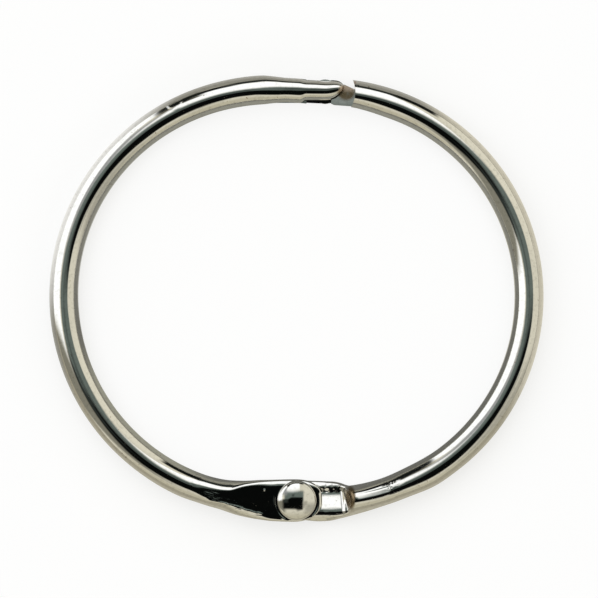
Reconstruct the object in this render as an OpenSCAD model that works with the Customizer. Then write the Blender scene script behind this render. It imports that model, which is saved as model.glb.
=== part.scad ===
// Binder ring: two halves of round steel wire, riveted together in a fork hinge
// and snapped shut by a dome and nub clasp. The closed ring lies flat on z = 0,
// with the hinge at +Y, the clasp at -Y and the dome of the clasp facing up.

/* [Ring] */
// Inside width of the closed ring, which is the size it is sold by
inner_w = 30; // [24:0.5:60]
// Thickness of the round wire
wire_d = 2.1; // [1.9:0.05:2.5]
// Length of the straight stretch at the hinge and at the clasp
straight_len = 3.9; // [3.5:0.1:6]

/* [Hinge] */
// How much the wire's radius is drawn down at the fork
fork_draw = 0.1; // [0.05:0.01:0.2]
// How far the fork is ground flat on the inside of the ring
fork_flat = 0.13; // [0.05:0.01:0.25]
// Reach of the fork beyond the middle of the pin
fork_reach = 1.3; // [1.1:0.05:1.5]
// Radius of the rounded corner at the nose of the fork
nose_r = 0.22; // [0.1:0.01:0.3]
// How far the upper cheek is trimmed back from the lower one along its edges
cheek_trim = 0.14; // [0.05:0.01:0.2]
// Thickness of the tongue that turns in the fork
tongue_t = 0.6; // [0.4:0.05:0.8]
// Radius of the tongue's round eye
eye_r = 0.84; // [0.7:0.02:0.9]
// Width of the tongue's neck, between its eye and the shoulder
neck_w = 1.18; // [0.9:0.02:1.4]
// Play between the tongue and each cheek of the fork
slot_play = 0.06; // [0.05:0.01:0.1]
// Room between the tongue's eye and the bottom of the slot
slot_room = 0.45; // [0.2:0.05:0.6]
// Room between the nose of the fork and the shoulder of the other half
shoulder_room = 0.78; // [0.5:0.02:1]
// Thickness of the hinge pin
pin_d = 0.8; // [0.6:0.05:0.9]
// Play around the pin in the two cheeks
pin_play = 0.02; // [0.01:0.005:0.04]
// Play around the pin in the tongue's eye
eye_play = 0.05; // [0.04:0.005:0.08]

/* [Clasp] */
// Width of the pressed plate that carries the dome
plate_w = 3; // [2.7:0.05:3.4]
// Thickness of the plate and of the lap at the middle of the dome
plate_t = 0.65; // [0.55:0.05:0.8]
// Reach of the plate beyond the middle of the dome
plate_reach = 1.76; // [1.6:0.02:2]
// Distance from the middle of the dome to where the wire starts to flatten
press_len = 7.4; // [6:0.2:9]
// Distance from the middle of the dome to the foot of the step in the wire
step_foot = 3.3; // [2.9:0.1:3.8]
// Length of the step, from its foot to the full wire
step_len = 0.7; // [0.4:0.05:1]
// Rise of the ramp in front of the step
ramp_rise = 0.18; // [0.05:0.01:0.25]
// Sideways slope of the plate's face, in degrees
plate_tilt = 3; // [0:0.5:6]
// How much wider the plate is than the lap under it, on each side
lap_inset = 0.13; // [0.05:0.01:0.2]
// Reach of the lap beyond the middle of the dome
lap_reach = 1.45; // [1.3:0.05:1.6]
// Play between the plate and the lap
clasp_play = 0.04; // [0.02:0.01:0.08]
// Width of the flat rim between the dome and the plate's edge
dome_rim = 0.12; // [0.05:0.01:0.2]
// Height of the dome above the plate
dome_h = 0.62; // [0.5:0.02:0.8]
// Radius of the dome's knuckle, where its side turns into its crown
dome_knuckle = 0.4; // [0.3:0.02:0.45]
// Thickness of the dome's wall
dome_wall = 0.42; // [0.35:0.01:0.5]
// Play between the nub and the inside of the dome
nub_play = 0.07; // [0.05:0.01:0.12]

/* [Hidden] */
$fn = 72;

STEEL = [0.79, 0.78, 0.74];
RIVET = [0.70, 0.69, 0.66];

wire_r = wire_d / 2;
// Half the straight stretch, which is also how far each arc's centre lies off the middle
shift = straight_len / 2;
// Radius of each arc, to the middle of the wire
arc_r = (inner_w - straight_len) / 2 + wire_r;

// Hinge: the pin stands where the tongue half's arc begins
pin_r = pin_d / 2;
fork_r = wire_r - fork_draw;
slot_h = tongue_t + 2 * slot_play;
slot_root = eye_r + slot_room;
shoulder_r = fork_reach + shoulder_room;
// The fork's stretch of even thickness starts a wire's thickness short of the pin
fork_len = slot_root + fork_r / 2;
// How far the nose's corner lies to the outer side of the pin
nose_side = fork_r - 2 * nose_r - cheek_trim;
// The neck lies along the inner side of the wire
neck_inner = eye_r + 0.08;

// Clasp: the two ends meet at z = 0 of the wire's own frame, half the play apart
face_z = clasp_play / 2;
plate_top = face_z + plate_t;
lap_w = plate_w - 2 * lap_inset;
step_head = step_foot + step_len;
dome_r = plate_w / 2 - dome_rim;
cup_r = dome_r - dome_wall;
cup_h = plate_t + dome_h - dome_wall;
nub_r = cup_r - nub_play;
nub_h = cup_h - nub_play;
// The plate's face runs down from the top of the wire to the dome
plate_slope = atan((wire_r - plate_top) / press_len);
// The edges are rounder than the plate is thick, by this share
EDGE_SHARE = 1.3;
// Exponent of the rounded outline at the tip of the plate and of the lap
TIP_POWER = 2.4;
// How deep a pressed end's root is sunk below the skin of the wire, and how far inside it starts
SEAM = 0.01;
SEAM_LEN = 0.06;
// Points around a pressed section
RING_POINTS = 40;

// The part stands on z = 0, with the middle of its outline on the Z axis
ring_y = (plate_w / 2 - wire_r) / 2;

function mix(a, b, k) = a + (b - a) * k;
function clamp01(k) = max(0, min(1, k));
function ease(k) = let (u = clamp01(k)) u * u * (3 - 2 * u);
// Fall of a rounded end: 1 at the start of the rounding and 0 at its tip
function fall(k, power) = pow(1 - pow(clamp01(k), power), 1 / power);

// Turn of the fork half's arc at s millimetres from the dome, in degrees from the bottom
function turn(s) = s > -shift ? 0 : (-shift - s) / arc_r * 180 / PI;
function spine(s) = s > -shift
    ? [s, -arc_r]
    : [-shift - arc_r * sin(turn(s)), -arc_r * cos(turn(s))];
function outward(s) = [-sin(turn(s)), -cos(turn(s))];

// Height of the long pressed face, and of the face that meets the other half
function outer_face(s) = wire_r - (wire_r - plate_top) * max(0, s + press_len) / press_len;
function inner_face(s) = s < -step_foot
    ? mix(-wire_r, face_z - ramp_rise, clamp01((s + step_head) / step_len))
    : mix(face_z - ramp_rise, face_z, clamp01((s + step_foot) / (step_foot - plate_reach - 0.1)));

// One section of a pressed end, s millimetres from the dome: a rounded bar whose
// top and bottom are cut off by the pressed faces
function press_ring(s, end_w, widen_from, widen_to, reach, tilt) =
    let (
        pressed = clamp01((s + step_head) / step_len),
        sunk = s > -press_len ? 0 : SEAM,
        wide = mix(wire_r, end_w / 2, ease((s + widen_from) / (widen_from - widen_to))),
        half_w = (wide - sunk) * fall(s / reach, TIP_POWER),
        top = outer_face(s),
        low = inner_face(s),
        mid = mix(0, (top + low) / 2, pressed),
        thin = fall((s - reach + plate_t) / plate_t, 2),
        half_h = (mix(wire_r, EDGE_SHARE * (top - low) / 2, pressed) - sunk) * thin,
        top_cut = mid + (top - mid) * thin,
        low_cut = mid + (low - mid) * thin
    )
    [for (i = [0 : RING_POINTS - 1])
        let (
            a = 360 * i / RING_POINTS,
            across = half_w * cos(a),
            z = min(top_cut - across * tan(tilt) * thin, max(low_cut, mid + half_h * sin(a))),
            p = spine(s) + outward(s) * across
        )
        [p.x, p.y, z]];

// Where the sections of a pressed end lie: closer together at the step and at the tip
function stations(reach) = concat(
    [-press_len - SEAM_LEN],
    [for (i = [0 : 7]) mix(-press_len, -step_head, i / 7)],
    [for (i = [1 : 5]) mix(-step_head, -step_foot, i / 5)],
    [for (i = [1 : 7]) mix(-step_foot, 0, i / 7)],
    [for (i = [1 : 12]) reach * sin(90 * i / 13)]
);

// Middle of a section
function centre(ring) = [for (p = ring) 1] * ring / len(ring);

// Solid skin over a row of sections that all have the same number of points, with
// each end closed by a fan about its middle
module loft(rings) {
    n = len(rings[0]);
    rows = len(rings);
    sides = [for (i = [0 : rows - 2], j = [0 : n - 1])
        let (a = i * n + j, b = i * n + (j + 1) % n)
        each [[a, b, b + n], [a, b + n, a + n]]];
    ends = [for (j = [0 : n - 1])
        let (k = (j + 1) % n, last = (rows - 1) * n)
        each [[k, j, rows * n], [last + j, last + k, rows * n + 1]]];
    polyhedron(points = concat([for (ring = rings) each ring],
                               [centre(rings[0]), centre(rings[rows - 1])]),
               faces = concat(sides, ends));
}

// Outline of a pressed dome: a flat crown that turns into the side in a tight knuckle
function dome_outline(r, h, knuckle) =
    let (
        flat_r = r - knuckle,
        crown_r = (flat_r * flat_r + h * h - knuckle * knuckle) / (2 * (h - knuckle)),
        turn_a = asin(flat_r / (crown_r - knuckle))
    )
    concat(
        [for (i = [0 : 5]) let (a = mix(0, 90 - turn_a, i / 5))
            [flat_r + knuckle * cos(a), knuckle * sin(a)]],
        [for (i = [1 : 7]) let (a = mix(turn_a, 0, i / 7))
            [crown_r * sin(a), h - crown_r + crown_r * cos(a)]]
    );

// Dome standing on its foot, with its side carried down by root
module dome(r, h, knuckle, root) {
    rotate_extrude()
        polygon(concat([[0, -root], [r, -root]], dome_outline(r, h, knuckle)));
}

// Round wire of one half, on its arc about the origin, from one angle to another
module wire_arc(from_a, to_a) {
    rotate([0, 0, from_a])
        rotate_extrude(angle = to_a - from_a)
            translate([arc_r, 0]) circle(wire_r);
}

// Everything is drawn with the wire's middle in the plane z = 0 and is lifted here
module rest() {
    translate([0, ring_y, wire_r]) children();
}

module at_pin() {
    translate([shift, arc_r, 0]) children();
}

// Plan of the fork and of the drawn wire behind it, about the pin: straight sides, a
// round inner corner about the pin and a nose that leans to the outer side
module fork_plan(trim) {
    outer = fork_r - trim;
    inner = fork_r - fork_flat - trim;
    nose_x = fork_reach - nose_r;
    polygon([
        [-straight_len, -wire_r], [-fork_len, -inner], [0, -inner],
        [nose_x, nose_side - nose_r], [nose_x, nose_side + nose_r],
        [-slot_root, outer], [-fork_len, fork_r], [-straight_len, wire_r]
    ]);
    translate([nose_x, nose_side]) circle(nose_r);
    intersection() {
        circle(inner);
        translate([0, -fork_r]) square([fork_reach, fork_r]);
    }
}

// Round bar from the end of the arc to the nose, drawn down to the fork's thickness
module fork_bar() {
    rotate([0, 90, 0]) rotate_extrude() {
        polygon([
            [0, -straight_len], [wire_r, -straight_len], [fork_r, -fork_len],
            [fork_r, 0], [0, 0]
        ]);
        intersection() {
            circle(fork_reach);
            square([fork_r, fork_reach]);
        }
    }
}

// Bar cut to its plan, with the upper cheek trimmed back and the slot and bore cut
module fork() {
    difference() {
        intersection() {
            fork_bar();
            union() {
                translate([0, 0, -wire_d]) linear_extrude(wire_d) fork_plan(0);
                linear_extrude(wire_d) fork_plan(cheek_trim);
            }
        }
        translate([-slot_root, -wire_d, -slot_h / 2])
            cube([slot_root + wire_d, 2 * wire_d, slot_h]);
        cylinder(h = 4 * wire_r, r = pin_r + pin_play, center = true);
    }
}

// Flat tongue with its eye about the pin, and the neck that joins it to the shoulder
module tongue() {
    neck_end = shoulder_r + wire_r / 2;
    difference() {
        translate([0, 0, -tongue_t / 2]) linear_extrude(tongue_t) {
            circle(eye_r);
            polygon([
                [0, -eye_r], [eye_r / 2, -neck_inner], [neck_end, -neck_inner],
                [neck_end, neck_w - neck_inner], [eye_r, neck_w - neck_inner], [0, eye_r]
            ]);
        }
        cylinder(h = 2 * wire_r, r = pin_r + eye_play, center = true);
    }
}

module fork_half() {
    press_a = 90 + (press_len - shift) / arc_r * 180 / PI;
    color(STEEL) rest() difference() {
        union() {
            translate([-shift, 0, 0]) wire_arc(90, 360 - press_a);
            at_pin() fork();
            loft([for (s = stations(plate_reach))
                press_ring(s, plate_w, press_len - 1.2, shift - 0.4, plate_reach, plate_tilt)]);
            translate([0, -arc_r, plate_top])
                rotate([plate_tilt, plate_slope, 0])
                    dome(dome_r, dome_h, dome_knuckle, plate_t / 2);
        }
        translate([0, -arc_r, face_z + cup_h - dome_h])
            dome(cup_r, dome_h, dome_knuckle, plate_t + cup_h);
    }
}

module tongue_half() {
    press_a = 90 + (press_len - shift) / arc_r * 180 / PI;
    color(STEEL) rest() {
        difference() {
            translate([shift, 0, 0]) wire_arc(press_a - 180, 90);
            at_pin() cylinder(h = 4 * wire_r, r = shoulder_r, center = true);
        }
        at_pin() tongue();
        mirror([1, 0, 0]) mirror([0, 0, 1])
            loft([for (s = stations(lap_reach))
                press_ring(s, lap_w, step_head, step_foot - step_len, lap_reach, 0)]);
        translate([0, -arc_r, nub_h - dome_h - face_z])
            dome(nub_r, dome_h, dome_knuckle, nub_h - dome_h + plate_t / 2);
    }
}

module hinge_pin() {
    color(RIVET) rest() at_pin() intersection() {
        cylinder(h = 2 * wire_r, r = pin_r, center = true);
        rotate([0, 90, 0]) cylinder(h = wire_d, r = fork_r, center = true);
    }
}

fork_half();
tongue_half();
hinge_pin();
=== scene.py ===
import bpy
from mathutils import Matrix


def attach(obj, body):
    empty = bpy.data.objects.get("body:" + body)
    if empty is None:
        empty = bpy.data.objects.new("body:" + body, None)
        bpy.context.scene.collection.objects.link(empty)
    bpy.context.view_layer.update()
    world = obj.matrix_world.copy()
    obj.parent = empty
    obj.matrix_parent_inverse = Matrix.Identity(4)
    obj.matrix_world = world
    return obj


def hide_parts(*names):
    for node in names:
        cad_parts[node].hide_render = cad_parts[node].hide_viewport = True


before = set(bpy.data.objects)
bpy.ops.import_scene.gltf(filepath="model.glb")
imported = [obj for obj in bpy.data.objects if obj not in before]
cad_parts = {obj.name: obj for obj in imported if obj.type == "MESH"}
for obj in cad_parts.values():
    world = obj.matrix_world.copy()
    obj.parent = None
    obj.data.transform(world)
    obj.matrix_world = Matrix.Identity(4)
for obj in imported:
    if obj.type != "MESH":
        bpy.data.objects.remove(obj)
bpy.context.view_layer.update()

import math

import bmesh
import bpy
import numpy as np
from mathutils import Euler, Matrix, Vector

# ---------------------------------------------------------------- sizes, in millimetres
MM = 0.001
WIRE_R = 1.05       # the wire's half height
WIRE_W = 1.0        # and its half width
SHIFT = 1.95        # half the straight stretch at the hinge and at the clasp
ARC_R = 14.1        # radius of each half's arc, to the middle of the wire
RING_Y = 0.225      # the ring's own middle, in the frame
PIN = (SHIFT, ARC_R)

TONGUE_T = 0.6      # the tongue's thickness
SLOT_H = 0.72       # height of the fork's slot
SLOT_ROOT = 1.29    # from the pin to the slot's end
SLOT_SLOPE = 0.07   # the lower cheek's face falls towards the ring's inside at this rate
PIN_R = 0.4
PIN_END = 0.62      # half the pin's length
PIN_PLAY = 0.01     # between the pin and the cheeks
EYE_PLAY = 0.05     # between the pin and the eye's bore
EYE_R = 0.84
EYE_DROP = 0.03     # the eye's upper face lies this far below the tongue's, at the pin
EYE_SLOPE = 0.07    # and falls towards the ring's inside at this rate
EYE_LIP = 0.61      # past this from the pin it falls outwards instead,
EYE_FALL = 0.10     # at this rate
NECK_SLOPE = 0.092  # the neck's upper face falls to the ring's outside at this rate
SHOULDER_R = 2.08   # from the pin to the shoulder where the round wire begins

PLATE_TIP = 1.76    # from the dome's middle to the plate's tip
LAP_TIP = 1.45      # and to the lap's
DOME_R = 1.38
DOME_H = 0.62
DOME_LEAN = 7.0, 8.0    # degrees about X and Y
DOME_WALL = 0.42
NUB_PLAY = 0.07     # between the nub and the dome's wall
CUP_H, NUB_H = 0.85, 0.78       # heights of the hollow under the dome and of the nub in it
KNUCKLE = 0.4       # radius of the dome's, the hollow's and the nub's edge
DOME_CROWN, NUB_CROWN = 2.6, 2.9    # radii of the dome's top, and of the hollow's and the nub's
BEAD_R, BEAD_W, BEAD_H = 1.56, 0.06, 0.022      # the ring that the press raised round the dome
FACE_Z = 0.02       # the clasp's two faces lie this far from the middle plane

NO_CUT = 9          # a height for a face that takes nothing off
ROUND = 160         # points around a section
WHOLE = 0.2         # from here on the sections are whole, and short of it lies a half's tip


# ---------------------------------------------------------------- lofting
def smooth(x):
    """0 up to 0 and 1 from 1 on, smooth between them."""
    x = min(max(x, 0), 1)
    return x * x * (3 - 2 * x)


def hill(x, y=0):
    """1 at 0, 0 and falling off all round it."""
    return math.exp(-x ** 2 - y ** 2)


def taper(e, power, root, least=1e-3):
    """How full a rounded end still is when e of its length, 0 to 1, is behind."""
    return max(least, 1 - e ** power) ** root


def soft_min(a, b, k):
    """The lesser of a and b, with the corner between them rounded over k."""
    h = np.clip(0.5 + 0.5 * (b - a) / k, 0, 1)
    return b + (a - b) * h - k * h * (1 - h)


def through(table):
    """A smooth curve through (place, value) pairs, flat at its ends and where it turns."""
    x, y = np.array(table, float).T
    step = np.diff(x)
    slope = np.diff(y) / step
    m = np.zeros_like(y)
    for i in range(1, len(x) - 1):
        if slope[i - 1] * slope[i] > 0:
            w1, w2 = 2 * step[i] + step[i - 1], step[i] + 2 * step[i - 1]
            m[i] = (w1 + w2) / (w1 / slope[i - 1] + w2 / slope[i])

    def value(q):
        q = min(max(q, x[0]), x[-1])
        i = min(int(np.searchsorted(x, q, side="right")) - 1, len(x) - 2)
        t = (q - x[i]) / step[i]
        return ((1 + 2 * t) * (1 - t) ** 2 * y[i] + t * (1 - t) ** 2 * step[i] * m[i]
                + t * t * (3 - 2 * t) * y[i + 1] + t * t * (t - 1) * step[i] * m[i + 1])
    return value


def spine(q):
    """Point and outward direction on a half ring, q mm along it from the dome's middle, with
    the half lying at -X. Past the arc it runs on straight to the hinge."""
    arc = math.pi * ARC_R
    if q < SHIFT:
        return np.array([-q, -ARC_R]), np.array([0.0, -1.0])
    if q < SHIFT + arc:
        a = (q - SHIFT) / ARC_R
        out = np.array([-math.sin(a), -math.cos(a)])
        return np.array([-SHIFT, 0]) + ARC_R * out, out
    return np.array([-SHIFT + q - SHIFT - arc, ARC_R]), np.array([0.0, 1.0])


def even(c, z, count):
    """The curve (c, z) at count + 1 points that lie evenly along it."""
    run = np.concatenate([[0], np.cumsum(np.hypot(np.diff(c), np.diff(z)))])
    if run[-1] < 1e-9:
        return np.full(count + 1, c[0]), np.full(count + 1, z[0])
    at = np.linspace(0, run[-1], count + 1)
    return np.interp(at, run, c), np.interp(at, run, z)


TURN = np.linspace(0, math.pi / 2, 121)


def half_section(w_out, w_in, mid, rise, cut, tilt=0.0, edge=0.04, power=2.0, inner=None,
                 outer_rise=None):
    """Upper half of a section from its outer edge over the crest to its inner edge: a rounded
    arch of that rise over mid, whose top a face at height cut takes off. The face falls
    outwards by tilt, and edge is the softness of the corner between the two. A higher power
    makes the arch squarer, on its inner side by its own one, and the outer side may have its
    own rise where the face hides the joint."""
    inner = inner or power
    outer_rise = outer_rise or rise
    c = np.concatenate([w_out * np.cos(TURN) ** (2 / power),
                        -w_in * np.sin(TURN[1:]) ** (2 / inner)])
    z = mid + np.concatenate([outer_rise * np.sin(TURN) ** (2 / power),
                              rise * np.cos(TURN[1:]) ** (2 / inner)])
    z = soft_min(z, cut - c * math.tan(math.radians(tilt)), edge)
    return even(c, np.maximum(z, mid), ROUND // 2)


def ring(q, top, bottom, bend=0.0, relief=None):
    """Points of one section q mm from the dome. top and bottom are half_section's values, the
    bottom ones as if it were turned up. bend shifts the section outwards, and relief gives
    what is added to the top's height by distance outwards."""
    c1, z1 = half_section(**top)
    if relief:
        z1 = z1 + np.array([relief(c) for c in c1])
    c2, z2 = half_section(**bottom)
    p, out = spine(q)
    c = np.concatenate([c1, c2[::-1]])
    z = np.concatenate([z1, -z2[::-1]])
    xy = p + np.outer(c + bend, out)
    return np.column_stack([xy, z])


def stations(*runs):
    """Places along a half, from each run's start, end and pitch."""
    return [q for run in runs for q in np.arange(*run)]


def loft(rows):
    """Closed skin over rows of points, its ends closed by fans."""
    n = len(rows[0])
    verts = np.concatenate(rows + [rows[0].mean(0)[None], rows[-1].mean(0)[None]])
    faces = []
    for i in range(len(rows) - 1):
        for j in range(n):
            k = (j + 1) % n
            faces.append((i * n + j, i * n + k, (i + 1) * n + k, (i + 1) * n + j))
    first, last = len(rows) * n, len(rows) * n + 1
    end = (len(rows) - 1) * n
    for j in range(n):
        k = (j + 1) % n
        faces.append((k, j, first))
        faces.append((end + j, end + k, last))
    return verts, faces


def make(name, verts, faces):
    """A mesh object in millimetres, its points merged and its faces turned outwards."""
    mesh = bpy.data.meshes.new(name)
    mesh.from_pydata([tuple(v) for v in np.asarray(verts, float)], [], faces)
    bm = bmesh.new()
    bm.from_mesh(mesh)
    bmesh.ops.remove_doubles(bm, verts=bm.verts, dist=1e-5)
    bmesh.ops.dissolve_degenerate(bm, edges=bm.edges, dist=1e-6)
    bmesh.ops.recalc_face_normals(bm, faces=bm.faces)
    bm.to_mesh(mesh)
    bm.free()
    ob = bpy.data.objects.new(name, mesh)
    bpy.context.scene.collection.objects.link(ob)
    return ob


def combine(ob, other, operation):
    """ob with other joined on or cut out. other is used up."""
    mod = ob.modifiers.new("bool", "BOOLEAN")
    mod.solver = "EXACT"
    mod.operation = operation
    mod.object = other
    dg = bpy.context.evaluated_depsgraph_get()
    new = bpy.data.meshes.new_from_object(ob.evaluated_get(dg))
    ob.modifiers.clear()
    ob.data = new
    bpy.data.objects.remove(other)
    return ob


def turned(name, profile, at=(0, 0, 0), lean=(0, 0), steps=128):
    """Solid of revolution about Z from (r, z) pairs, from its underside to its top. lean turns
    it about X and Y, in degrees."""
    turn = np.linspace(0, 2 * math.pi, steps, endpoint=False)
    verts, faces = loft([np.array([(r * math.cos(a), r * math.sin(a), z) for a in turn])
                         for r, z in profile])
    spin = Euler((math.radians(lean[0]), math.radians(lean[1]), 0)).to_matrix()
    return make(name, verts @ np.array(spin).T + np.array(at), faces)


def box(left, front, right, back):
    """Plan outline of a rectangle."""
    return [(left, front), (right, front), (right, back), (left, back)]


def prism(name, outline, low, high):
    """Upright prism over a plan outline, between two heights that may depend on the point."""
    n = len(outline)
    verts = [(x, y, low(x, y)) for x, y in outline] + [(x, y, high(x, y)) for x, y in outline]
    faces = [(i, (i + 1) % n, n + (i + 1) % n, n + i) for i in range(n)]
    faces += [tuple(range(n)), tuple(range(n, 2 * n))]
    return make(name, verts, faces)


def dome_outline(r, crown_r, foot):
    """A dome's outline from a foot at that height, over its tight knuckle to its round crown."""
    reach = crown_r - KNUCKLE
    turn = math.asin((r - KNUCKLE) / reach)
    side_h = DOME_H - crown_r + reach * math.cos(turn)
    side = [(r - KNUCKLE + KNUCKLE * math.cos(a), side_h + KNUCKLE * math.sin(a))
            for a in np.linspace(0, math.pi / 2 - turn, 15)]
    crown = [(crown_r * math.sin(a), DOME_H - crown_r + crown_r * math.cos(a))
             for a in np.linspace(turn, 0.01, 32)[1:]]
    return [(r, foot)] + side + crown


# ---------------------------------------------------------------- the fork half
ARC_END = SHIFT + math.pi * ARC_R   # where the hinge's straight stretch begins
PIVOT = ARC_END + 2 * SHIFT
NOSE = PIVOT + 1.33                 # tip of the fork
NOSE_LEN = 1.03                     # length over which the tip rounds off
PRESS = 7.4                         # from the dome's middle to where the wire starts to flatten
STEP_FOOT, STEP_HEAD = 3.3, 4.0     # where the step's wall starts and ends
PLATE_TOP = 0.67                    # height of the plate's upper face at the dome
PLATE_TILT = 7.0                    # degrees that it falls outwards
# The plate's underside falls by this much, from this far on and over this length
FOOT_FALL, FOOT_FROM, FOOT_RUN = 0.18, 1.86, 1.44

# Half widths of the fork half, outer and inner, by millimetres from the dome's middle
FORK_OUT = through([(0.2, 1.47), (1.7, 1.42), (2.4, 1.34), (3.9, 1.17), (5.4, 0.98), (6.5, 0.97),
                    (8, 1.02), (12, WIRE_W), (ARC_END - 3, WIRE_W), (ARC_END - 0.5, 1.02),
                    (ARC_END + 0.4, 0.93), (ARC_END + 1.2, 0.83),
                    (PIVOT - SLOT_ROOT - 0.45, 0.78), (PIVOT - SLOT_ROOT, 0.70),
                    (PIVOT - 0.8, 0.70), (PIVOT, 0.65), (NOSE, 0.58)])
FORK_IN = through([(0.2, 1.46), (1.7, 1.43), (2.4, 1.41), (3.9, 1.24), (5.4, 1.07), (6.9, 1.01),
                   (12, WIRE_W), (ARC_END - 3, WIRE_W), (ARC_END - 0.5, 0.98),
                   (ARC_END + 0.4, 0.91), (ARC_END + 1.2, 0.86),
                   (PIVOT - SLOT_ROOT - 0.45, 0.90), (PIVOT - SLOT_ROOT, 0.72), (NOSE, 0.70)])
# and those of its underside from the hinge on
LOWER_OUT = through([(PIVOT - SLOT_ROOT - 0.45, 0.78), (PIVOT - SLOT_ROOT, 0.74), (NOSE, 0.69)])
LOWER_IN = through([(PIVOT - SLOT_ROOT - 0.45, 0.90), (PIVOT - SLOT_ROOT, 0.93), (NOSE, 0.98)])
# How far the half is sprung outwards of its circle
FORK_BEND = through([(8, 0), (24, 0.03), (39, 0.06), (ARC_END - 0.5, 0.11), (ARC_END + 1.2, 0.13),
                     (PIVOT, 0.09), (NOSE, 0.25)])
# How square its section is: 2 is an ellipse. The plate's inner side has its own figure
FORK_POWER = through([(1, 2.3), (3.3, 1.95), (4.8, 1.55), (6, 2.2), (7.5, 2.0), (ARC_END - 1, 2),
                      (ARC_END + 1, 2.35), (NOSE, 2.35)])
PLATE_POWER = through([(1, 5), (2.5, 4.5), (3.6, 3.2), (4.8, 1.85), (6.2, 2.0)])
# How much of the wire's half height is drawn down at the hinge
FORK_DRAW = through([(ARC_END - 2, 0), (ARC_END + 1.5, 0.12), (PIVOT, 0.14)])
# The crease that the press left along the plate's outer edge
CREASE = through([(1.5, 1.04), (3.25, 0.76), (4.8, 0.5), (5.9, 0.58)])
CREASE_FROM, CREASE_TO = 2.1, 6.3
CREASE_W, CREASE_H = 0.07, 0.03
# A small burr beside it: its place along and across, its size both ways and its height
BURR_Q, BURR_C, BURR_L, BURR_W, BURR_H = 2.25, -0.74, 0.08, 0.055, 0.035
# How far up a step's wall is, from its foot at 0 to its head at 1
STEP_WALL = through([(STEP_FOOT - 0.25, 0), (STEP_FOOT, 0.1), (STEP_HEAD - 0.15, 0.93),
                     (STEP_HEAD, 1)])
# How far the plate's upper face lies below the wire's crest
PRESSED = through([(0, WIRE_R - PLATE_TOP), (3.9, 0.175), (4.8, 0.105), (5.8, 0.075), (6.6, 0.04),
                   (PRESS, 0)])


def pressed(q):
    """The plate's upper face and its face on the lap, by distance from the dome, and how much
    of the wire's roundness is gone."""
    top = WIRE_R - PRESSED(q)
    foot = FACE_Z - FOOT_FALL * min(max(0, q - FOOT_FROM) / FOOT_RUN, 1)
    return top, foot, smooth((6.2 - q) / 3.2)


def fork_ring(q, out=1.0, inn=1.0, high=1.0, square=0.0):
    """A section of the fork half, with its widths and its height scaled at an end, and made
    squarer there."""
    top, foot, flat = pressed(q)
    mid = flat * (top + foot) / 2
    plate_rise, wall = 0.72 * (top - foot), STEP_WALL(q)
    rise = WIRE_R * (1 - flat) + plate_rise * flat - FORK_DRAW(q)
    low = foot + (-WIRE_R - foot) * wall
    tilt = PLATE_TILT * smooth((PRESS - q) / 3)
    upper = dict(w_out=FORK_OUT(q) * out, w_in=FORK_IN(q) * inn, mid=mid, rise=rise * high,
                 cut=mid + (top - mid) * high if q < PRESS else NO_CUT, tilt=tilt * high,
                 power=FORK_POWER(q) + square,
                 inner=(PLATE_POWER(q) if q < ARC_END - 1 else FORK_POWER(q)) + square,
                 outer_rise=(WIRE_R * (1 - flat) + 1.08 * (top - mid) * flat - FORK_DRAW(q)) * high)
    lower = dict(upper, mid=-mid, tilt=0,
                 cut=-mid + (mid - low) * high if q < STEP_HEAD else NO_CUT,
                 rise=(plate_rise * (1 - wall) + (WIRE_R + mid) * wall - FORK_DRAW(q)) * high,
                 edge=0.03, outer_rise=None)
    if q > ARC_END:
        lower.update(w_out=LOWER_OUT(q) * out, w_in=LOWER_IN(q) * inn)
    ragged = 0.8 + 0.2 * math.sin(3 * q) * math.sin(8 * q + 1)
    wander = CREASE(q) + 0.025 * math.sin(3 * q) * math.sin(7 * q)
    crease = CREASE_H * ragged * (smooth((q - CREASE_FROM) / 0.5) * smooth((CREASE_TO - q) / 0.6))

    def raised(c):
        bead = BEAD_H * smooth((c + 0.9) / 0.8) * hill((math.hypot(c, q) - BEAD_R) / BEAD_W)
        burr = BURR_H * hill((q - BURR_Q) / BURR_L, (c - BURR_C) / BURR_W)
        return burr + bead + crease * hill((c - wander) / CREASE_W)
    return ring(q, upper, lower, FORK_BEND(q), raised)


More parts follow.
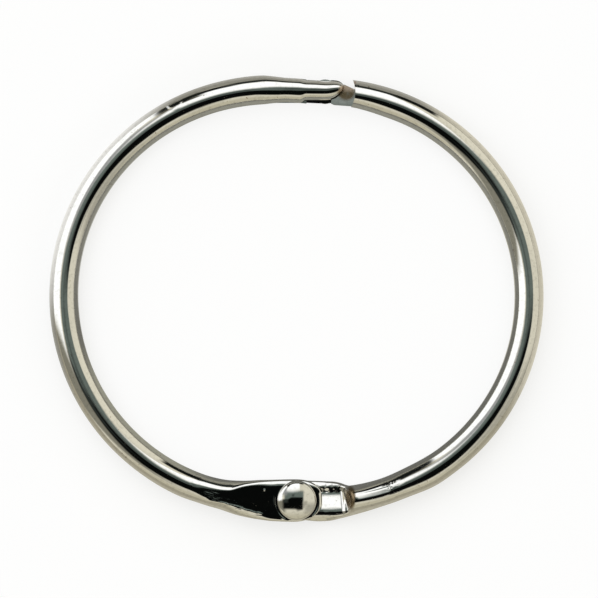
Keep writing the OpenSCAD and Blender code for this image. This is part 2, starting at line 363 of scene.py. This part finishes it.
def fork_half():
    """The half at -X: wire with a domed plate at one end and a slotted fork at the other."""
    rows = []
    for e in np.sin(np.linspace(math.pi / 2, 0, 50)[:-1]):      # the plate's tip
        rows.append(fork_ring(WHOLE - (PLATE_TIP + WHOLE) * e, out=taper(e, 2.05, 0.49),
                              inn=taper(e, 2.5, 0.4), high=taper(e, 22, 0.5, 1e-2),
                              square=2 * e))
    rows += [fork_ring(q) for q in stations(
        (WHOLE, 4, 0.035), (4, 6.5, 0.05), (6.5, 9, 0.1), (9, ARC_END - 3, 0.3),
        (ARC_END - 3, NOSE - NOSE_LEN, 0.06))]
    for e in np.sin(np.linspace(0, math.pi / 2, 24)):           # the fork's nose
        rows.append(fork_ring(NOSE - NOSE_LEN + NOSE_LEN * e, out=taper(e, 2, 0.5),
                              inn=taper(e, 2.4, 0.8), high=taper(e, 9, 0.4, 1e-2)))
    ob = make("fork", *loft(rows))
    dome = dome_outline(DOME_R, DOME_CROWN, -0.3)
    combine(ob, turned("dome", dome, (0, -ARC_R, PLATE_TOP), DOME_LEAN), "UNION")
    cup = dome_outline(DOME_R - DOME_WALL, NUB_CROWN, -1)
    combine(ob, turned("cup", cup, (0, -ARC_R, FACE_Z + CUP_H - DOME_H)), "DIFFERENCE")
    slot = prism("slot", box(PIN[0] - SLOT_ROOT, PIN[1] - 2, PIN[0] + 3, PIN[1] + 2),
                 lambda x, y: -SLOT_H / 2 + (y - PIN[1]) * SLOT_SLOPE, lambda x, y: SLOT_H / 2)
    combine(ob, slot, "DIFFERENCE")
    bore, end = PIN_R + PIN_PLAY, PIN_END + PIN_PLAY
    combine(ob, turned("bore", [(bore, -end), (bore, end)], (*PIN, 0), steps=64), "DIFFERENCE")
    return ob


# ---------------------------------------------------------------- the tongue half
# Half widths of the tongue half, outer and inner, and how far it is sprung outwards
LAP_OUT = through([(0.2, 1.36), (1.5, 1.46), (2.2, 1.43), (2.9, 1.30), (3.7, 1.16), (4.4, 1.06),
                   (5.9, 0.93), (7.4, 0.90), (9.6, 1.03), (11, WIRE_W)])
LAP_IN = through([(0.2, 1.36), (1.85, 1.31), (2.5, 1.28), (3.1, 1.15), (3.5, 0.98), (3.8, 0.90),
                  (4.6, 0.91), (5.9, 0.93), (8.5, 1.04), (11, WIRE_W), (ARC_END - 6.5, WIRE_W),
                  (ARC_END - 4.7, 1.01), (ARC_END - 3, 0.935), (ARC_END - 2.1, 0.88),
                  (ARC_END, 0.84)])
LAP_BEND = through([(6, 0), (9, 0.013), (24, -0.026), (39, -0.065), (ARC_END, -0.07)])
LAP_DIP = 0.24      # from the clasp's middle plane down to the lap's edges
# The lap's face across: a lip along its inner edge, a hollow, and a back on the outer side
LAP_FACE = through([(-1.22, 0), (-0.93, 0.03), (-0.56, -0.05), (0.78, 0.24), (1.06, 0.18),
                    (1.38, 0)])
# Past the step the crimping die left a flat on the wire: where it ends, its height over the
# wire's axis, how far it is pressed below that, and its slope across. A groove runs along it,
# and where it ends is a rough nick
FLAT_END, FLAT_Z, FLAT_SINK, FLAT_SLOPE = 6.6, 1.06, 0.03, 0.16
GROOVE_C, GROOVE_W, GROOVE_H = -0.27, 0.045, 0.012
NICK_C, NICK_R, NICK_H = -0.36, 0.22, 0.016


def lap_ring(q, out=1.0, inn=1.0, high=1.0):
    """A section of the tongue half, which is the fork half's turned over, at -X as well."""
    under, foot, flat = pressed(q)
    foot = -foot - LAP_DIP
    mid = flat * (foot - under) / 2
    plate_rise, wall = 0.65 * (foot + under), STEP_WALL(q)
    face = foot + (WIRE_R - foot) * wall
    bared = smooth((STEP_FOOT + 0.2 - q) / 0.25)
    crimped = smooth((q - STEP_HEAD) / 0.3) * smooth((FLAT_END - q) / 0.15)
    upper = dict(w_out=LAP_OUT(q) * out, w_in=LAP_IN(q) * inn, mid=mid,
                 rise=(plate_rise * (1 - wall) + (WIRE_R - mid) * wall) * high,
                 cut=mid + (face - mid) * high if q < STEP_HEAD else NO_CUT, edge=0.03,
                 power=2 + 1.4 * (1 - wall) * flat)
    lower = dict(upper, mid=-mid, cut=-mid + (under + mid) * high if q < PRESS else NO_CUT,
                 rise=(WIRE_R * (1 - flat) + plate_rise * flat) * high)

    def worked(c):
        arch = WIRE_R * math.sqrt(max(0, 1 - (c / (LAP_OUT(q) if c > 0 else LAP_IN(q))) ** 2))
        shaved = min(FLAT_Z - FLAT_SINK * crimped + FLAT_SLOPE * c - arch, 0)
        shaved -= GROOVE_H * hill((c - GROOVE_C) / GROOVE_W)
        nick = hill((q - FLAT_END) / NICK_R, (c - NICK_C) / NICK_R) \
            * math.sin(19 * q + 3 * math.sin(9 * c)) * math.sin(23 * c + 2 * math.sin(11 * q))
        ragged = 1 + 0.6 * math.sin(5 * q) * math.sin(8 * q + 1) * smooth((-0.5 - c) / 0.1)
        return LAP_FACE(c) * ragged * bared + shaved * crimped + NICK_H * nick
    return ring(q, upper, lower, LAP_BEND(q), worked)


def tongue_half():
    """The half at +X: wire with a lap and its nub at one end and a tongue at the other."""
    rows = []
    for e in np.sin(np.linspace(math.pi / 2, 0, 20)[:-1]):      # the lap's tip
        side = taper(e, 2.4, 0.42)
        rows.append(lap_ring(WHOLE - (LAP_TIP + WHOLE) * e, out=side, inn=side,
                             high=taper(e, 8, 0.5, 1e-2)))
    rows += [lap_ring(q) for q in stations(
        (WHOLE, 4.2, 0.05), (4.2, 7.2, 0.04), (7.2, 9, 0.1), (9, ARC_END - 3, 0.3),
        (ARC_END - 3, ARC_END + 1.2, 0.1))]
    rows = [row * (-1, 1, 1) for row in rows]
    ob = make("tongue", *loft(rows))
    nub = dome_outline(DOME_R - DOME_WALL - NUB_PLAY, NUB_CROWN, -0.3)
    combine(ob, turned("nub", nub, (0, -ARC_R, NUB_H - DOME_H - FACE_Z)), "UNION")
    # the wire stops in a hollow round the pin, and the thin tongue goes on from there
    hollow = turned("shoulder", [(SHOULDER_R, -2), (SHOULDER_R, 2)], (*PIN, 0), steps=256)
    combine(ob, hollow, "DIFFERENCE")

    half, eye_top = TONGUE_T / 2, TONGUE_T / 2 - EYE_DROP
    eye = [(PIN[0] + EYE_R * math.cos(a), PIN[1] + EYE_R * math.sin(a))
           for a in np.linspace(0, 2 * math.pi, 128, endpoint=False)]
    eye = prism("eye", eye, lambda x, y: -half, lambda x, y: eye_top + EYE_SLOPE * (y - PIN[1]))
    combine(ob, eye, "UNION")
    rim = prism("rim", box(PIN[0] - 1, PIN[1] + EYE_LIP, PIN[0] + 1, PIN[1] + 1),
                lambda x, y: eye_top + EYE_SLOPE * EYE_LIP - EYE_FALL * (y - PIN[1] - EYE_LIP),
                lambda x, y: 1)
    combine(ob, rim, "DIFFERENCE")
    end = PIN[0] + SHOULDER_R + 0.5
    neck = [(PIN[0] + 0.4, PIN[1] - 0.82), (PIN[0] + 0.62, PIN[1] - 0.92), (end, PIN[1] - 1.06),
            (end, PIN[1] - 0.02), (PIN[0] + 1.9, PIN[1] + 0.22), (PIN[0] + 1.35, PIN[1] + 0.48),
            (PIN[0] + 0.6, PIN[1] + 0.58)]
    neck = prism("neck", neck, lambda x, y: -half,
                 lambda x, y: half - NECK_SLOPE * (y - PIN[1] + 1))
    combine(ob, neck, "UNION")
    bore = PIN_R + EYE_PLAY
    combine(ob, turned("bore", [(bore, -2), (bore, 2)], (*PIN, 0)), "DIFFERENCE")
    return ob


def hinge_rivet():
    """The headless pin that both cheeks hide, with its ends chamfered."""
    edge = 0.07
    end = [(PIN_R, PIN_END - edge), (PIN_R - edge / 2, PIN_END - edge / 8), (PIN_R - edge, PIN_END)]
    return turned("rivet", [(r, -z) for r, z in end[::-1]] + end, (*PIN, 0), steps=96)


def part_flats(mesh, area=2e-8, angle=3):
    """Makes the edge between two large flat faces sharp, however small the angle there."""
    bm = bmesh.new()
    bm.from_mesh(mesh)
    for edge in bm.edges:
        faces = edge.link_faces
        if len(faces) == 2 and min(f.calc_area() for f in faces) > area \
                and edge.calc_face_angle() > math.radians(angle):
            edge.smooth = False
    bm.to_mesh(mesh)
    bm.free()


def settle(ob, name, body, material, node):
    """Puts a finished piece in the frame, in metres, names it, gives it its material, hangs it on
    its body and hides the CAD part it takes the place of.
    """
    ob.data.transform(Matrix.Scale(MM, 4) @ Matrix.Translation((0, RING_Y, WIRE_R)))
    ob.data.shade_smooth()
    ob.data.set_sharp_from_angle(angle=math.radians(32))
    part_flats(ob.data)
    ob.name = ob.data.name = name
    ob.data.materials.clear()
    ob.data.materials.append(material)
    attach(ob, body)
    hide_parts(node)


# ---------------------------------------------------------------- node sums
class Value:
    """A shader socket that adds, multiplies and so on by making Math nodes."""

    def __init__(self, tree, socket):
        self.tree, self.socket = tree, socket

    def do(self, operation, *others):
        node = self.tree.nodes.new("ShaderNodeMath")
        node.operation = operation
        for slot, v in zip(node.inputs, (self, *others)):
            if isinstance(v, Value):
                self.tree.links.new(v.socket, slot)
            else:
                slot.default_value = v
        return Value(self.tree, node.outputs[0])

    def __add__(self, v):
        return self.do("ADD", v)

    def __sub__(self, v):
        return self.do("SUBTRACT", v)

    def __mul__(self, v):
        return self.do("MULTIPLY", v)

    def __truediv__(self, v):
        return self.do("DIVIDE", v)

    def step(self, low, high):
        """0 below low and 1 above high, smooth between them; falling where low is above high."""
        node = self.tree.nodes.new("ShaderNodeMapRange")
        node.interpolation_type = "SMOOTHSTEP"
        self.tree.links.new(self.socket, node.inputs["Value"])
        node.inputs["From Min"].default_value = min(low, high)
        node.inputs["From Max"].default_value = max(low, high)
        if low > high:
            node.inputs["To Min"].default_value, node.inputs["To Max"].default_value = 1, 0
        return Value(self.tree, node.outputs["Result"])

    def band(self, low, high, soft):
        """1 between low and high, with edges that are soft wide."""
        return self.step(low - soft, low + soft) * self.step(high + soft, high - soft)


def mixed(tree, a, b, share, blend="MIX"):
    """Colour a, with b laid over it by share. Each is a colour or a socket."""
    node = tree.nodes.new("ShaderNodeMix")
    node.data_type = "RGBA"
    node.blend_type = blend
    node.clamp_factor = True
    for v, slot in ((share, node.inputs[0]), (a, node.inputs[6]), (b, node.inputs[7])):
        if isinstance(v, Value):
            tree.links.new(v.socket, slot)
        elif hasattr(v, "is_linked"):
            tree.links.new(v, slot)
        else:
            slot.default_value = v if isinstance(v, (int, float)) else (*v, 1)
    return node.outputs[2]


def place(tree, kind):
    """x, y and z of the surface's own place or, in the world, of the direction."""
    node, split = tree.nodes.new("ShaderNodeTexCoord"), tree.nodes.new("ShaderNodeSeparateXYZ")
    tree.links.new(node.outputs[kind], split.inputs[0])
    return [Value(tree, socket) for socket in split.outputs]


def span(x, y):
    """Length of the hypotenuse over x and y."""
    return (x * x + y * y).do("SQRT")


def compass(x, y):
    """Degrees round from the right, 90 behind."""
    return y.do("ARCTAN2", x) * (180 / math.pi)


# ---------------------------------------------------------------- studio
def grey(level, tint):
    """Linear colour of a grey given as 0 to 255 on a screen, tinted."""
    c = level / 255
    c = ((c + 0.055) / 1.055) ** 2.4 if c > 0.04 else c / 12.92
    return tuple(c * t for t in tint)


METAL = 0.78        # the share of the studio's light that the metal gives back
# The floor's colour inside the ring, outside it and away from the wire: darker inside the ring and
# away from the wire, as painted shade that the metal shows
FLOOR_IN, FLOOR_OUT, FLOOR_FAR = 0.14, 0.30, 0.12
WINDOW = math.radians(153)      # compass angle of the floor's whitest side
# Tints of the walls, the panels, the dark things and the dull ones
CREAM = (1.03, 1.0, 0.83)
COOL = (0.97, 1.0, 1.01)
TEAL = (0.85, 1.05, 0.95)
OLIVE = (1.02, 1.0, 0.8)


def studio():
    """Plain soft studio: a white panel behind and to the left, a cream wall all round, and the
    dark side of the room where the photographer stands."""
    world = bpy.data.worlds.new("studio")
    bpy.context.scene.world = world
    world.use_nodes = True
    tree = world.node_tree
    tree.nodes.clear()
    new, link = tree.nodes.new, tree.links.new
    x, y, z = place(tree, "Generated")
    off = span(x, y) + 1e-5
    polar = z.do("MINIMUM", 1.0).do("MAXIMUM", -1.0).do("ARCCOSINE") * (180 / math.pi)
    u, v = polar * x / off, polar * y / off     # degrees off the vertical, to the right and back
    round_ = compass(x, y)

    def tone(level, tint):
        """What shines here for the metal to show this level on a screen."""
        return tuple(c / METAL for c in grey(level, tint))

    def lay(colour, level, tint, mask):
        """Lays that tone over the colour where the mask is 1."""
        return mixed(tree, colour, tone(level, tint), mask)

    # the cream wall, duller in front and to the right
    colour = tone(203, CREAM)
    colour = lay(colour, 158, CREAM, u.step(26, 48) * v.band(-62, -22, 10))
    colour = lay(colour, 212, CREAM, u.step(26, 40) * v.step(2, 30))
    colour = lay(colour, 176, (1.05, 1.0, 0.76), v.step(-40, -66) * u.step(-62, -50))
    # the horizon is duller than the walls
    colour = lay(colour, 112, OLIVE, polar.step(84, 90) * u.step(-60, -20))
    colour = lay(colour, 150, OLIVE, polar.step(84, 90) * v.step(-25, -50) * u.step(-60, -20))
    # duller corner between the cream wall and the panel
    colour = lay(colour, 122, OLIVE, u.band(-100, -24, 8) * v.band(-50, -10, 7))
    # and a duller edge of it beside the dark side of the room
    colour = lay(colour, 158, CREAM, polar.band(36, 48, 4) * u.step(8, 16) * v.step(-10, -18))
    # white panel to the left
    colour = lay(colour, 262, COOL, u.band(-100, -33, 4) * v.band(-10, 86, 5))
    # grey overhead, and a white panel behind that grows out of it
    colour = lay(colour, 103, TEAL, u.band(-26, 33, 4) * v.band(-16, 19, 5))
    colour = lay(colour, 64, TEAL, u.band(-3, 4, 3) * v.band(1, 9, 4))
    colour = lay(colour, 262, COOL, u.band(-21, 21.5, 1.5) * v.step(68, 60)
                 * (v - u.do("MAXIMUM", 0.0) * 0.2).step(9, 28))
    # the gap between the panels
    colour = lay(colour, 156, COOL, u.band(-36, -18.5, 4) * v.band(8, 38, 9))
    # low behind it a post, and dark things at its foot and under the panel behind
    colour = lay(colour, 92, OLIVE, round_.band(109, 122, 1.5) * polar.band(46, 96, 4))
    colour = lay(colour, 26, TEAL, round_.band(100, 122, 2) * polar.band(61, 84, 4))
    colour = lay(colour, 22, TEAL, round_.band(112, 119, 1) * polar.band(53, 84, 3))
    colour = lay(colour, 112, OLIVE, round_.band(69, 102, 3) * polar.band(72, 98, 3))
    colour = lay(colour, 40, TEAL, round_.band(69, 102, 3) * polar.band(66, 85, 2))
    colour = lay(colour, 18, TEAL, round_.band(58, 71, 1.5) * polar.band(62, 92, 4))
    # the dark side of the room
    colour = lay(colour, 8, TEAL, u.step(-37, -26) * u.step(34, 28)
                 * (v + u.step(4, 18) * 2).step(-42, -34)
                 * (v + u.step(-2, -20) * 7).step(1.5, -4.5))
    colour = lay(colour, 46, TEAL, u.band(-30, -15, 4) * v.band(-18, -8, 4))
    path = new("ShaderNodeLightPath")
    colour = mixed(tree, colour, (1, 1, 1), Value(tree, path.outputs["Is Camera Ray"]))
    background = new("ShaderNodeBackground")
    link(colour, background.inputs["Color"])
    out = new("ShaderNodeOutputWorld")
    link(background.outputs[0], out.inputs["Surface"])


def floor():
    """A pale floor that shows white to the camera, less the object's shadow; for the metal it
    carries painted shade and glows with a painted reflection.
    """
    verts = [(-1.5, -1.5, 0), (1.5, -1.5, 0), (1.5, 1.5, 0), (-1.5, 1.5, 0)]
    mesh = bpy.data.meshes.new("floor")
    mesh.from_pydata(verts, [], [(0, 1, 2, 3)])
    ob = bpy.data.objects.new("floor", mesh)
    bpy.context.scene.collection.objects.link(ob)
    mat = bpy.data.materials.new("floor")
    mat.use_nodes = True
    tree = mat.node_tree
    shader = tree.nodes["Principled BSDF"]
    shader.inputs["Roughness"].default_value = 1.0
    shader.inputs["Specular IOR Level"].default_value = 0.0
    x, y, _ = place(tree, "Object")
    off = span(x, y)
    out = off.step(0.0135, 0.0155)      # 0 inside the ring and 1 outside it
    away = (off - ARC_R * MM).do("ABSOLUTE").step(0.0015, 0.007)
    # painted shade: the floor is darker inside the ring and away from the wire, for the metal to
    # show
    base = mixed(tree, (FLOOR_IN,) * 3, (FLOOR_OUT,) * 3, out)
    base = mixed(tree, base, (FLOOR_FAR,) * 3, away)
    tree.links.new(base, shader.inputs["Base Color"])
    # the camera sees white less the shadow, and for the metal the floor glows with a painted
    # reflection: whitest on the window's side, cream to the right and in front, and duller inside
    # the ring
    round_ = compass(x, y)
    painted_glow = mixed(tree, (0.06, 0.06, 0.048), (0.25, 0.25, 0.19), round_.band(-164, -122, 8))
    painted_glow = mixed(tree, painted_glow, (0.21, 0.21, 0.17), y.step(-0.004, 0.008))
    beyond = mixed(tree, (0.21, 0.205, 0.17), (0.30, 0.275, 0.19), y.step(-0.004, -0.010))
    beyond = mixed(tree, beyond, (0.56, 0.53, 0.42), round_.band(-25, 54, 8))
    towards = (x * math.cos(WINDOW) + y * math.sin(WINDOW)) / off
    beyond = mixed(tree, beyond, (0.84, 0.85, 0.84), towards.step(0.82, 0.99))
    painted_glow = mixed(tree, painted_glow, beyond, out)
    rest = mixed(tree, (1, 1, 1), base, 1.0, "SUBTRACT")
    path = tree.nodes.new("ShaderNodeLightPath")
    by_camera = Value(tree, path.outputs["Is Camera Ray"])
    tree.links.new(mixed(tree, painted_glow, rest, by_camera), shader.inputs["Emission Color"])
    seen = by_camera + Value(tree, path.outputs["Is Glossy Ray"])
    tree.links.new(seen.socket, shader.inputs["Emission Strength"])
    mesh.materials.append(mat)


def lamp(name, spot, size, watts):
    """A square lamp at that spot that looks at the ring and doesn't show in it."""
    light = bpy.data.lights.new(name, "AREA")
    light.shape, light.size, light.energy = "SQUARE", size, watts
    ob = bpy.data.objects.new(name, light)
    ob.location = spot
    ob.rotation_euler = (-Vector(spot)).to_track_quat("-Z", "Y").to_euler()
    ob.visible_glossy = False
    bpy.context.scene.collection.objects.link(ob)


def camera():
    """Straight down on the ring, as in the photograph, which is 598 by 598."""
    width, distance = 0.04127, 0.5      # what it sees across at the ring's height, and from where
    cam = bpy.data.cameras.new("camera")
    cam.sensor_width = 36
    cam.lens = cam.sensor_width / 2 / (width / 2 / distance)
    cam.clip_start, cam.clip_end = 0.01, 10
    ob = bpy.data.objects.new("camera", cam)
    ob.location = (0.000148, 0.000021, distance + 0.001)    # over the photograph's middle
    bpy.context.scene.collection.objects.link(ob)
    bpy.context.scene.camera = ob


# ---------------------------------------------------------------- materials
NICKEL = (0.80, 0.78, 0.75)
RIVET_NICKEL = (0.78, 0.76, 0.73)
SPECK = (0.30, 0.22, 0.15)
# browns laid in the hinge's and the step's recesses: painted shade and reflection, with some
# tarnish
TARNISH_AND_SHADE, DEEP_TARNISH_AND_SHADE = (0.62, 0.49, 0.38), (0.22, 0.165, 0.10)
BURR = (0.62, 0.50, 0.44)
# Where the dies left the wire uneven: place, reach, softness of the edge, and how much
DENTS = [(-1.75, -13.3, 0.15, 0.4, 1), (2.4, -13.6, 0.5, 0.6, 0.4), (2.6, -15.0, 0.3, 0.6, 0.6),
         (6.7, -13.3, 0.3, 0.6, 1.6), (4.17, 14.62, 0.05, 0.15, 2), (-5.7, -14.2, 0.4, 0.8, 2),
         (-4.2, -14.55, 0.4, 0.7, 2), (-2.9, -14.9, 0.3, 0.6, 1), (-8.5, 13.4, 0.35, 0.35, 1.3)]


def plated(name, base, side):
    """Bright nickel on drawn steel wire. side is -1 for the half at -X, whose streaks it lays
    along that half's own arc, and 1 for the other."""
    mat = bpy.data.materials.new(name)
    mat.use_nodes = True
    tree = mat.node_tree
    new, link = tree.nodes.new, tree.links.new
    shader = tree.nodes["Principled BSDF"]
    shader.inputs["Metallic"].default_value = 1.0
    x, y, z = (v / MM for v in place(tree, "Object"))
    x, y, z = x * -side, y - RING_Y, z - WIRE_R
    cx = x.do("MAXIMUM", -SHIFT).do("MINIMUM", SHIFT)
    dx = x - cx
    radius = span(dx, y) - ARC_R
    along = y.do("ARCTAN2", dx * -1) * ARC_R + y.do("SIGN") * (cx + SHIFT)

    def noise(vector, detail, rough, seed):
        node = new("ShaderNodeTexNoise")
        node.noise_dimensions = "4D"
        join = new("ShaderNodeCombineXYZ")
        for v, slot in zip(vector, join.inputs):
            link(v.socket, slot)
        link(join.outputs[0], node.inputs["Vector"])
        node.inputs["W"].default_value = seed + side
        node.inputs["Scale"].default_value = 1.0
        node.inputs["Detail"].default_value = detail
        node.inputs["Roughness"].default_value = rough
        return Value(tree, node.outputs["Fac"])

    def near(px, py, reach, soft):
        """1 within reach mm of a point of the plan, gone soft mm further on."""
        return span(x - px * -side, y - py).step(reach + soft, reach)

    def patch(px, py, rx, ry):
        """1 at a point of the plan, gone at an ellipse around it."""
        return span((x - px * -side) / rx, (y - py) / ry).step(1.0, 0.6)

    streaks = noise((along * 0.35, radius * 6, z * 6), 3.0, 0.6, 3.0)
    cloud = noise((along * 0.5, radius * 0.8, z * 0.8), 2.0, 0.5, 7.0)
    waves = noise((along * 0.45, radius * 1.1, z * 1.1), 1.0, 0.4, 11.0)
    chatter = noise((along * 0.9, radius * 4, z * 4), 3.0, 0.6, 17.0)
    grain = noise((along * 4, radius * 5, z * 5), 2.0, 0.6, 19.0)
    speck = noise((along * 6, radius * 6, z * 6), 0.0, 0.5, 23.0).step(0.79, 0.82) \
        * (near(0, -ARC_R, DOME_R, 0.3) * -1 + 1)
    blotch = noise((x * 2.5, y * 2.5, z * 2.5), 3.0, 0.6, 31.0)
    # brown on the shoulder by the hinge, darker on the inner side, and on the step's wall: painted
    # shade and reflection in these recesses, with some tarnish
    inner_side = y.step(14.35, 13.95)
    recess_tarnish_and_shade = patch(3.4, 14.05, 0.75, 0.68) * (blotch.step(0.15, 0.5) * 0.4 + 0.6) \
        + patch(3.71, -13.9, 0.42, 1.0) * blotch.step(0.1, 0.4)
    dents = near(*DENTS[0][:4]) * DENTS[0][4]
    for dent in DENTS[1:]:
        dents = dents + near(*dent[:4]) * dent[4]

    pale, dull, bright = (tuple(min(1, c * share) for c in base) for share in (0.96, 0.8, 1.03))
    colour = mixed(tree, pale, bright, cloud)
    colour = mixed(tree, colour, dull, grain.step(0.45, 0.8))
    colour = mixed(tree, colour, SPECK, speck * 0.7)
    colour = mixed(tree, colour, mixed(tree, TARNISH_AND_SHADE, DEEP_TARNISH_AND_SHADE, inner_side), recess_tarnish_and_shade)
    colour = mixed(tree, colour, BURR, patch(4.0, 14.72, 0.13, 0.12))
    link(colour, shader.inputs["Base Color"])
    rough = streaks.step(0.35, 0.75) * 0.07 + 0.035 + recess_tarnish_and_shade * (inner_side * -0.2 + 0.4) + speck * 0.2
    link(rough.socket, shader.inputs["Roughness"])

    height = waves * 0.010 + streaks * 0.0007 + chatter * dents * 0.016     # in mm
    bump = new("ShaderNodeBump")
    bump.inputs["Strength"].default_value = 1.0
    bump.inputs["Distance"].default_value = MM
    link(height.socket, bump.inputs["Height"])
    link(bump.outputs[0], shader.inputs["Normal"])
    return mat


# ---------------------------------------------------------------- the scene
studio()
floor()
lamp("soft lamp", (-0.2, 0.15, 0.6), 1.0, 2.6)
camera()
left = plated("plated fork half", NICKEL, -1)
right = plated("plated tongue half", NICKEL, 1)
rivet = plated("plated rivet", RIVET_NICKEL, 1)
settle(fork_half(), "fork_half_wire", "fork_half", left, "fork_half")
settle(tongue_half(), "tongue_half_wire", "tongue_half", right, "tongue_half")
settle(hinge_rivet(), "hinge_rivet", "fork_half", rivet, "hinge_pin")

bpy.context.scene.view_settings.view_transform = "Standard"
bpy.context.view_layer.update()
